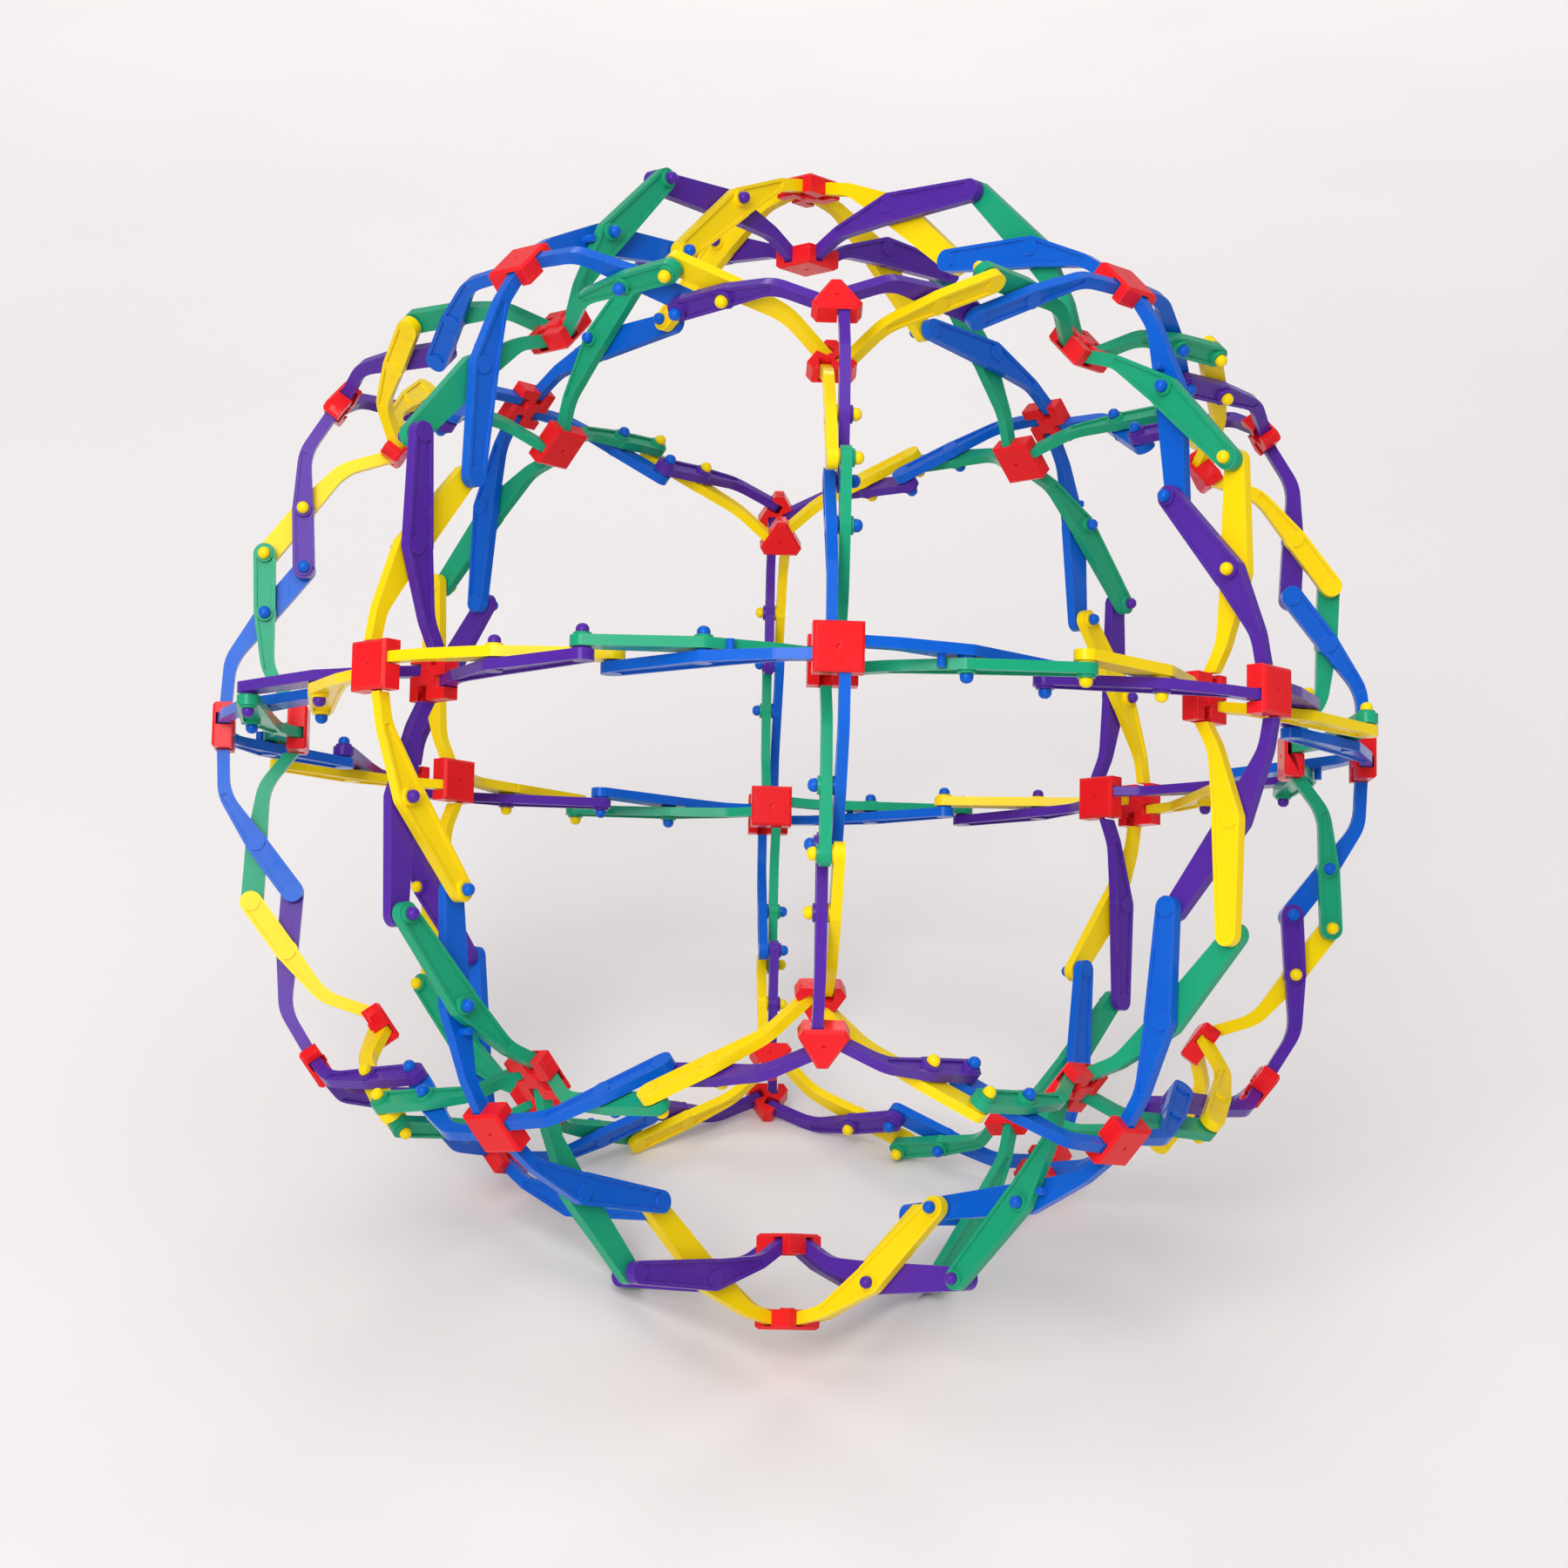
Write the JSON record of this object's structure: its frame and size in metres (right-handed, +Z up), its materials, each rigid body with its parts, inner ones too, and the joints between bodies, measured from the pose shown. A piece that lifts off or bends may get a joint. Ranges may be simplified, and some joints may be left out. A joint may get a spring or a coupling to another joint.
{
  "type": "expanding sphere toy",
  "caption": "Folding ball of crossed coloured plastic struts pinned between red square and three-way hubs; its equator ring folds inwards on its pins.",
  "frame": {"origin": "on the floor under the middle of the standing ball", "axes": "+Z up, -Y towards the front square hub, +X to the right seen from the front"},
  "size_m": [0.3044, 0.3054, 0.2861],
  "materials": {
    "red": "moulded gloss plastic, red",
    "blue": "moulded gloss plastic, blue",
    "green": "moulded gloss plastic, green",
    "yellow": "moulded gloss plastic, yellow",
    "purple": "moulded gloss plastic, purple"
  },
  "bodies": {
    "frame": {"upper_outer_hubs": "red", "upper_inner_hubs": "red", "lower_outer_hubs": "red", "lower_inner_hubs": "red", "outer_hub_front": "red", "upper_blue_struts": "blue", "upper_green_struts": "green", "upper_purple_struts": "purple", "upper_yellow_struts": "yellow", "lower_blue_struts": "blue", "lower_green_struts": "green", "lower_purple_struts": "purple", "lower_yellow_struts": "yellow"},
    "blue_strut_front_to_front_right": {"blue_strut_front_to_front_right": "blue"},
    "green_strut_front_to_front_right": {"green_strut_front_to_front_right": "green"},
    "inner_hub_front": {"inner_hub_front": "red"},
    "purple_strut_front_right_to_front": {"purple_strut_front_right_to_front": "purple"},
    "yellow_strut_front_right_to_front": {"yellow_strut_front_right_to_front": "yellow"},
    "inner_hub_front_right": {"inner_hub_front_right": "red"},
    "outer_hub_front_right": {"outer_hub_front_right": "red"},
    "purple_strut_front_right_to_right": {"purple_strut_front_right_to_right": "purple"},
    "yellow_strut_front_right_to_right": {"yellow_strut_front_right_to_right": "yellow"},
    "blue_strut_right_to_front_right": {"blue_strut_right_to_front_right": "blue"},
    "green_strut_right_to_front_right": {"green_strut_right_to_front_right": "green"},
    "inner_hub_right": {"inner_hub_right": "red"},
    "outer_hub_right": {"outer_hub_right": "red"},
    "blue_strut_right_to_rear_right": {"blue_strut_right_to_rear_right": "blue"},
    "green_strut_right_to_rear_right": {"green_strut_right_to_rear_right": "green"},
    "yellow_strut_rear_right_to_right": {"yellow_strut_rear_right_to_right": "yellow"},
    "purple_strut_rear_right_to_right": {"purple_strut_rear_right_to_right": "purple"},
    "inner_hub_rear_right": {"inner_hub_rear_right": "red"},
    "outer_hub_rear_right": {"outer_hub_rear_right": "red"},
    "yellow_strut_rear_right_to_rear": {"yellow_strut_rear_right_to_rear": "yellow"},
    "purple_strut_rear_right_to_rear": {"purple_strut_rear_right_to_rear": "purple"},
    "blue_strut_rear_to_rear_right": {"blue_strut_rear_to_rear_right": "blue"},
    "green_strut_rear_to_rear_right": {"green_strut_rear_to_rear_right": "green"},
    "inner_hub_rear": {"inner_hub_rear": "red"},
    "outer_hub_rear": {"outer_hub_rear": "red"},
    "blue_strut_front_to_front_left": {"blue_strut_front_to_front_left": "blue"},
    "green_strut_front_to_front_left": {"green_strut_front_to_front_left": "green"},
    "yellow_strut_front_left_to_front": {"yellow_strut_front_left_to_front": "yellow"},
    "purple_strut_front_left_to_front": {"purple_strut_front_left_to_front": "purple"},
    "inner_hub_front_left": {"inner_hub_front_left": "red"},
    "outer_hub_front_left": {"outer_hub_front_left": "red"},
    "yellow_strut_front_left_to_left": {"yellow_strut_front_left_to_left": "yellow"},
    "purple_strut_front_left_to_left": {"purple_strut_front_left_to_left": "purple"},
    "blue_strut_left_to_front_left": {"blue_strut_left_to_front_left": "blue"},
    "green_strut_left_to_front_left": {"green_strut_left_to_front_left": "green"},
    "inner_hub_left": {"inner_hub_left": "red"},
    "outer_hub_left": {"outer_hub_left": "red"},
    "blue_strut_left_to_rear_left": {"blue_strut_left_to_rear_left": "blue"},
    "green_strut_left_to_rear_left": {"green_strut_left_to_rear_left": "green"},
    "purple_strut_rear_left_to_left": {"purple_strut_rear_left_to_left": "purple"},
    "yellow_strut_rear_left_to_left": {"yellow_strut_rear_left_to_left": "yellow"},
    "inner_hub_rear_left": {"inner_hub_rear_left": "red"},
    "outer_hub_rear_left": {"outer_hub_rear_left": "red"},
    "purple_strut_rear_left_to_rear": {"purple_strut_rear_left_to_rear": "purple"},
    "yellow_strut_rear_left_to_rear": {"yellow_strut_rear_left_to_rear": "yellow"},
    "blue_strut_rear_to_rear_left": {"blue_strut_rear_to_rear_left": "blue"},
    "green_strut_rear_to_rear_left": {"green_strut_rear_to_rear_left": "green"}
  },
  "joints": [
    {"name": "fold", "type": "hinge", "parent": "frame", "child": "blue_strut_front_to_front_right", "pos_m": [0.0042, -0.12667, 0.22228], "axis": [0, 0.5304, 0.8477], "range_deg": [0, 52]},
    {"name": "hinge_green_strut_front_to_front_right", "type": "hinge", "parent": "blue_strut_front_to_front_right", "child": "green_strut_front_to_front_right", "pos_m": [0.03002, -0.11862, 0.21724], "axis": [0, 0.5304, 0.8477], "range_deg": [-104, 0]},
    {"name": "hinge_inner_hub_front", "type": "hinge", "parent": "green_strut_front_to_front_right", "child": "inner_hub_front", "pos_m": [0.0042, -0.11057, 0.21221], "axis": [0, 0.5304, 0.8477], "range_deg": [0, 52]},
    {"name": "hinge_purple_strut_front_right_to_front", "type": "hinge", "parent": "blue_strut_front_to_front_right", "child": "purple_strut_front_right_to_front", "pos_m": [0.05023, -0.10281, 0.20735], "axis": [0, 0.5304, 0.8477], "range_deg": [-104, 0]},
    {"name": "hinge_yellow_strut_front_right_to_front", "type": "hinge", "parent": "purple_strut_front_right_to_front", "child": "yellow_strut_front_right_to_front", "pos_m": [0.07772, -0.10187, 0.20676], "axis": [0, 0.5304, 0.8477], "range_deg": [0, 104]},
    {"name": "hinge_inner_hub_front_right", "type": "hinge", "parent": "yellow_strut_front_right_to_front", "child": "inner_hub_front_right", "pos_m": [0.08926, -0.0807, 0.19352], "axis": [0, 0.5304, 0.8477], "range_deg": [-52, 0]},
    {"name": "hinge_outer_hub_front_right", "type": "hinge", "parent": "purple_strut_front_right_to_front", "child": "outer_hub_front_right", "pos_m": [0.10269, -0.09209, 0.20064], "axis": [0, 0.5304, 0.8477], "range_deg": [0, 52]},
    {"name": "hinge_purple_strut_front_right_to_right", "type": "hinge", "parent": "outer_hub_front_right", "child": "purple_strut_front_right_to_right", "pos_m": [0.10863, -0.08705, 0.19749], "axis": [0, 0.5304, 0.8477], "range_deg": [0, 52]},
    {"name": "hinge_yellow_strut_front_right_to_right", "type": "hinge", "parent": "purple_strut_front_right_to_right", "child": "yellow_strut_front_right_to_right", "pos_m": [0.12017, -0.06588, 0.18425], "axis": [0, 0.5304, 0.8477], "range_deg": [-104, 0]},
    {"name": "hinge_blue_strut_right_to_front_right", "type": "hinge", "parent": "purple_strut_front_right_to_right", "child": "blue_strut_right_to_front_right", "pos_m": [0.12127, -0.04258, 0.16967], "axis": [0, 0.5304, 0.8477], "range_deg": [-104, 0]},
    {"name": "hinge_green_strut_right_to_front_right", "type": "hinge", "parent": "blue_strut_right_to_front_right", "child": "green_strut_right_to_front_right", "pos_m": [0.13992, -0.02545, 0.15895], "axis": [0, 0.5304, 0.8477], "range_deg": [0, 104]},
    {"name": "hinge_inner_hub_right", "type": "hinge", "parent": "green_strut_right_to_front_right", "child": "inner_hub_right", "pos_m": [0.13043, -0.00356, 0.14525], "axis": [0, 0.5304, 0.8477], "range_deg": [-52, 0]},
    {"name": "hinge_outer_hub_right", "type": "hinge", "parent": "blue_strut_right_to_front_right", "child": "outer_hub_right", "pos_m": [0.14942, -0.00356, 0.14525], "axis": [0, 0.5304, 0.8477], "range_deg": [0, 52]},
    {"name": "hinge_blue_strut_right_to_rear_right", "type": "hinge", "parent": "outer_hub_right", "child": "blue_strut_right_to_rear_right", "pos_m": [0.14942, 0.00356, 0.1408], "axis": [0, 0.5304, 0.8477], "range_deg": [0, 52]},
    {"name": "hinge_green_strut_right_to_rear_right", "type": "hinge", "parent": "blue_strut_right_to_rear_right", "child": "green_strut_right_to_rear_right", "pos_m": [0.13992, 0.02545, 0.12711], "axis": [0, 0.5304, 0.8477], "range_deg": [-104, 0]},
    {"name": "hinge_yellow_strut_rear_right_to_right", "type": "hinge", "parent": "blue_strut_right_to_rear_right", "child": "yellow_strut_rear_right_to_right", "pos_m": [0.12127, 0.04258, 0.11638], "axis": [0, 0.5304, 0.8477], "range_deg": [-104, 0]},
    {"name": "hinge_purple_strut_rear_right_to_right", "type": "hinge", "parent": "yellow_strut_rear_right_to_right", "child": "purple_strut_rear_right_to_right", "pos_m": [0.12017, 0.06588, 0.1018], "axis": [0, 0.5304, 0.8477], "range_deg": [0, 104]},
    {"name": "hinge_inner_hub_rear_right", "type": "hinge", "parent": "purple_strut_rear_right_to_right", "child": "inner_hub_rear_right", "pos_m": [0.0952, 0.07567, 0.09568], "axis": [0, 0.5304, 0.8477], "range_deg": [-52, 0]},
    {"name": "hinge_outer_hub_rear_right", "type": "hinge", "parent": "yellow_strut_rear_right_to_right", "child": "outer_hub_rear_right", "pos_m": [0.10863, 0.08705, 0.08856], "axis": [0, 0.5304, 0.8477], "range_deg": [0, 52]},
    {"name": "hinge_yellow_strut_rear_right_to_rear", "type": "hinge", "parent": "outer_hub_rear_right", "child": "yellow_strut_rear_right_to_rear", "pos_m": [0.10269, 0.09209, 0.08541], "axis": [0, 0.5304, 0.8477], "range_deg": [0, 52]},
    {"name": "hinge_purple_strut_rear_right_to_rear", "type": "hinge", "parent": "yellow_strut_rear_right_to_rear", "child": "purple_strut_rear_right_to_rear", "pos_m": [0.07772, 0.10187, 0.07929], "axis": [0, 0.5304, 0.8477], "range_deg": [-104, 0]},
    {"name": "hinge_blue_strut_rear_to_rear_right", "type": "hinge", "parent": "yellow_strut_rear_right_to_rear", "child": "blue_strut_rear_to_rear_right", "pos_m": [0.05023, 0.10281, 0.0787], "axis": [0, 0.5304, 0.8477], "range_deg": [-104, 0]},
    {"name": "hinge_green_strut_rear_to_rear_right", "type": "hinge", "parent": "blue_strut_rear_to_rear_right", "child": "green_strut_rear_to_rear_right", "pos_m": [0.03002, 0.11862, 0.06881], "axis": [0, 0.5304, 0.8477], "range_deg": [0, 104]},
    {"name": "hinge_inner_hub_rear", "type": "hinge", "parent": "green_strut_rear_to_rear_right", "child": "inner_hub_rear", "pos_m": [0.0042, 0.11057, 0.07385], "axis": [0, 0.5304, 0.8477], "range_deg": [-52, 0]},
    {"name": "hinge_outer_hub_rear", "type": "hinge", "parent": "blue_strut_rear_to_rear_right", "child": "outer_hub_rear", "pos_m": [0.0042, 0.12667, 0.06377], "axis": [0, 0.5304, 0.8477], "range_deg": [0, 52]},
    {"name": "hinge_blue_strut_front_to_front_left", "type": "hinge", "parent": "frame", "child": "blue_strut_front_to_front_left", "pos_m": [-0.0042, -0.12667, 0.22228], "axis": [0, 0.5304, 0.8477], "range_deg": [-52, 0]},
    {"name": "hinge_green_strut_front_to_front_left", "type": "hinge", "parent": "blue_strut_front_to_front_left", "child": "green_strut_front_to_front_left", "pos_m": [-0.03002, -0.11862, 0.21724], "axis": [0, 0.5304, 0.8477], "range_deg": [0, 104]},
    {"name": "hinge_yellow_strut_front_left_to_front", "type": "hinge", "parent": "blue_strut_front_to_front_left", "child": "yellow_strut_front_left_to_front", "pos_m": [-0.05023, -0.10281, 0.20735], "axis": [0, 0.5304, 0.8477], "range_deg": [0, 104]},
    {"name": "hinge_purple_strut_front_left_to_front", "type": "hinge", "parent": "yellow_strut_front_left_to_front", "child": "purple_strut_front_left_to_front", "pos_m": [-0.07772, -0.10187, 0.20676], "axis": [0, 0.5304, 0.8477], "range_deg": [-104, 0]},
    {"name": "hinge_inner_hub_front_left", "type": "hinge", "parent": "purple_strut_front_left_to_front", "child": "inner_hub_front_left", "pos_m": [-0.08926, -0.0807, 0.19352], "axis": [0, 0.5304, 0.8477], "range_deg": [0, 52]},
    {"name": "hinge_outer_hub_front_left", "type": "hinge", "parent": "yellow_strut_front_left_to_front", "child": "outer_hub_front_left", "pos_m": [-0.10269, -0.09209, 0.20064], "axis": [0, 0.5304, 0.8477], "range_deg": [-52, 0]},
    {"name": "hinge_yellow_strut_front_left_to_left", "type": "hinge", "parent": "outer_hub_front_left", "child": "yellow_strut_front_left_to_left", "pos_m": [-0.10863, -0.08705, 0.19749], "axis": [0, 0.5304, 0.8477], "range_deg": [-52, 0]},
    {"name": "hinge_purple_strut_front_left_to_left", "type": "hinge", "parent": "yellow_strut_front_left_to_left", "child": "purple_strut_front_left_to_left", "pos_m": [-0.12017, -0.06588, 0.18425], "axis": [0, 0.5304, 0.8477], "range_deg": [0, 104]},
    {"name": "hinge_blue_strut_left_to_front_left", "type": "hinge", "parent": "yellow_strut_front_left_to_left", "child": "blue_strut_left_to_front_left", "pos_m": [-0.12127, -0.04258, 0.16967], "axis": [0, 0.5304, 0.8477], "range_deg": [0, 104]},
    {"name": "hinge_green_strut_left_to_front_left", "type": "hinge", "parent": "blue_strut_left_to_front_left", "child": "green_strut_left_to_front_left", "pos_m": [-0.13992, -0.02545, 0.15895], "axis": [0, 0.5304, 0.8477], "range_deg": [-104, 0]},
    {"name": "hinge_inner_hub_left", "type": "hinge", "parent": "green_strut_left_to_front_left", "child": "inner_hub_left", "pos_m": [-0.13043, -0.00356, 0.14525], "axis": [0, 0.5304, 0.8477], "range_deg": [0, 52]},
    {"name": "hinge_outer_hub_left", "type": "hinge", "parent": "blue_strut_left_to_front_left", "child": "outer_hub_left", "pos_m": [-0.14942, -0.00356, 0.14525], "axis": [0, 0.5304, 0.8477], "range_deg": [-52, 0]},
    {"name": "hinge_blue_strut_left_to_rear_left", "type": "hinge", "parent": "outer_hub_left", "child": "blue_strut_left_to_rear_left", "pos_m": [-0.14942, 0.00356, 0.1408], "axis": [0, 0.5304, 0.8477], "range_deg": [-52, 0]},
    {"name": "hinge_green_strut_left_to_rear_left", "type": "hinge", "parent": "blue_strut_left_to_rear_left", "child": "green_strut_left_to_rear_left", "pos_m": [-0.13992, 0.02545, 0.12711], "axis": [0, 0.5304, 0.8477], "range_deg": [0, 104]},
    {"name": "hinge_purple_strut_rear_left_to_left", "type": "hinge", "parent": "blue_strut_left_to_rear_left", "child": "purple_strut_rear_left_to_left", "pos_m": [-0.12127, 0.04258, 0.11638], "axis": [0, 0.5304, 0.8477], "range_deg": [0, 104]},
    {"name": "hinge_yellow_strut_rear_left_to_left", "type": "hinge", "parent": "purple_strut_rear_left_to_left", "child": "yellow_strut_rear_left_to_left", "pos_m": [-0.12017, 0.06588, 0.1018], "axis": [0, 0.5304, 0.8477], "range_deg": [-104, 0]},
    {"name": "hinge_inner_hub_rear_left", "type": "hinge", "parent": "yellow_strut_rear_left_to_left", "child": "inner_hub_rear_left", "pos_m": [-0.0952, 0.07567, 0.09568], "axis": [0, 0.5304, 0.8477], "range_deg": [0, 52]},
    {"name": "hinge_outer_hub_rear_left", "type": "hinge", "parent": "purple_strut_rear_left_to_left", "child": "outer_hub_rear_left", "pos_m": [-0.10863, 0.08705, 0.08856], "axis": [0, 0.5304, 0.8477], "range_deg": [-52, 0]},
    {"name": "hinge_purple_strut_rear_left_to_rear", "type": "hinge", "parent": "outer_hub_rear_left", "child": "purple_strut_rear_left_to_rear", "pos_m": [-0.10269, 0.09209, 0.08541], "axis": [0, 0.5304, 0.8477], "range_deg": [-52, 0]},
    {"name": "hinge_yellow_strut_rear_left_to_rear", "type": "hinge", "parent": "purple_strut_rear_left_to_rear", "child": "yellow_strut_rear_left_to_rear", "pos_m": [-0.07772, 0.10187, 0.07929], "axis": [0, 0.5304, 0.8477], "range_deg": [0, 104]},
    {"name": "hinge_blue_strut_rear_to_rear_left", "type": "hinge", "parent": "purple_strut_rear_left_to_rear", "child": "blue_strut_rear_to_rear_left", "pos_m": [-0.05023, 0.10281, 0.0787], "axis": [0, 0.5304, 0.8477], "range_deg": [0, 104]},
    {"name": "hinge_green_strut_rear_to_rear_left", "type": "hinge", "parent": "blue_strut_rear_to_rear_left", "child": "green_strut_rear_to_rear_left", "pos_m": [-0.03002, 0.11862, 0.06881], "axis": [0, 0.5304, 0.8477], "range_deg": [-104, 0]}
  ],
  "couplings": [
    {"joint": "hinge_green_strut_front_to_front_right", "follows": "fold", "ratio": -2},
    {"joint": "hinge_inner_hub_front", "follows": "fold", "ratio": 1},
    {"joint": "hinge_purple_strut_front_right_to_front", "follows": "fold", "ratio": -2},
    {"joint": "hinge_yellow_strut_front_right_to_front", "follows": "fold", "ratio": 2},
    {"joint": "hinge_inner_hub_front_right", "follows": "fold", "ratio": -1},
    {"joint": "hinge_outer_hub_front_right", "follows": "fold", "ratio": 1},
    {"joint": "hinge_purple_strut_front_right_to_right", "follows": "fold", "ratio": 1},
    {"joint": "hinge_yellow_strut_front_right_to_right", "follows": "fold", "ratio": -2},
    {"joint": "hinge_blue_strut_right_to_front_right", "follows": "fold", "ratio": -2},
    {"joint": "hinge_green_strut_right_to_front_right", "follows": "fold", "ratio": 2},
    {"joint": "hinge_inner_hub_right", "follows": "fold", "ratio": -1},
    {"joint": "hinge_outer_hub_right", "follows": "fold", "ratio": 1},
    {"joint": "hinge_blue_strut_right_to_rear_right", "follows": "fold", "ratio": 1},
    {"joint": "hinge_green_strut_right_to_rear_right", "follows": "fold", "ratio": -2},
    {"joint": "hinge_yellow_strut_rear_right_to_right", "follows": "fold", "ratio": -2},
    {"joint": "hinge_purple_strut_rear_right_to_right", "follows": "fold", "ratio": 2},
    {"joint": "hinge_inner_hub_rear_right", "follows": "fold", "ratio": -1},
    {"joint": "hinge_outer_hub_rear_right", "follows": "fold", "ratio": 1},
    {"joint": "hinge_yellow_strut_rear_right_to_rear", "follows": "fold", "ratio": 1},
    {"joint": "hinge_purple_strut_rear_right_to_rear", "follows": "fold", "ratio": -2},
    {"joint": "hinge_blue_strut_rear_to_rear_right", "follows": "fold", "ratio": -2},
    {"joint": "hinge_green_strut_rear_to_rear_right", "follows": "fold", "ratio": 2},
    {"joint": "hinge_inner_hub_rear", "follows": "fold", "ratio": -1},
    {"joint": "hinge_outer_hub_rear", "follows": "fold", "ratio": 1},
    {"joint": "hinge_blue_strut_front_to_front_left", "follows": "fold", "ratio": -1},
    {"joint": "hinge_green_strut_front_to_front_left", "follows": "fold", "ratio": 2},
    {"joint": "hinge_yellow_strut_front_left_to_front", "follows": "fold", "ratio": 2},
    {"joint": "hinge_purple_strut_front_left_to_front", "follows": "fold", "ratio": -2},
    {"joint": "hinge_inner_hub_front_left", "follows": "fold", "ratio": 1},
    {"joint": "hinge_outer_hub_front_left", "follows": "fold", "ratio": -1},
    {"joint": "hinge_yellow_strut_front_left_to_left", "follows": "fold", "ratio": -1},
    {"joint": "hinge_purple_strut_front_left_to_left", "follows": "fold", "ratio": 2},
    {"joint": "hinge_blue_strut_left_to_front_left", "follows": "fold", "ratio": 2},
    {"joint": "hinge_green_strut_left_to_front_left", "follows": "fold", "ratio": -2},
    {"joint": "hinge_inner_hub_left", "follows": "fold", "ratio": 1},
    {"joint": "hinge_outer_hub_left", "follows": "fold", "ratio": -1},
    {"joint": "hinge_blue_strut_left_to_rear_left", "follows": "fold", "ratio": -1},
    {"joint": "hinge_green_strut_left_to_rear_left", "follows": "fold", "ratio": 2},
    {"joint": "hinge_purple_strut_rear_left_to_left", "follows": "fold", "ratio": 2},
    {"joint": "hinge_yellow_strut_rear_left_to_left", "follows": "fold", "ratio": -2},
    {"joint": "hinge_inner_hub_rear_left", "follows": "fold", "ratio": 1},
    {"joint": "hinge_outer_hub_rear_left", "follows": "fold", "ratio": -1},
    {"joint": "hinge_purple_strut_rear_left_to_rear", "follows": "fold", "ratio": -1},
    {"joint": "hinge_yellow_strut_rear_left_to_rear", "follows": "fold", "ratio": 2},
    {"joint": "hinge_blue_strut_rear_to_rear_left", "follows": "fold", "ratio": 2},
    {"joint": "hinge_green_strut_rear_to_rear_left", "follows": "fold", "ratio": -2}
  ]
}
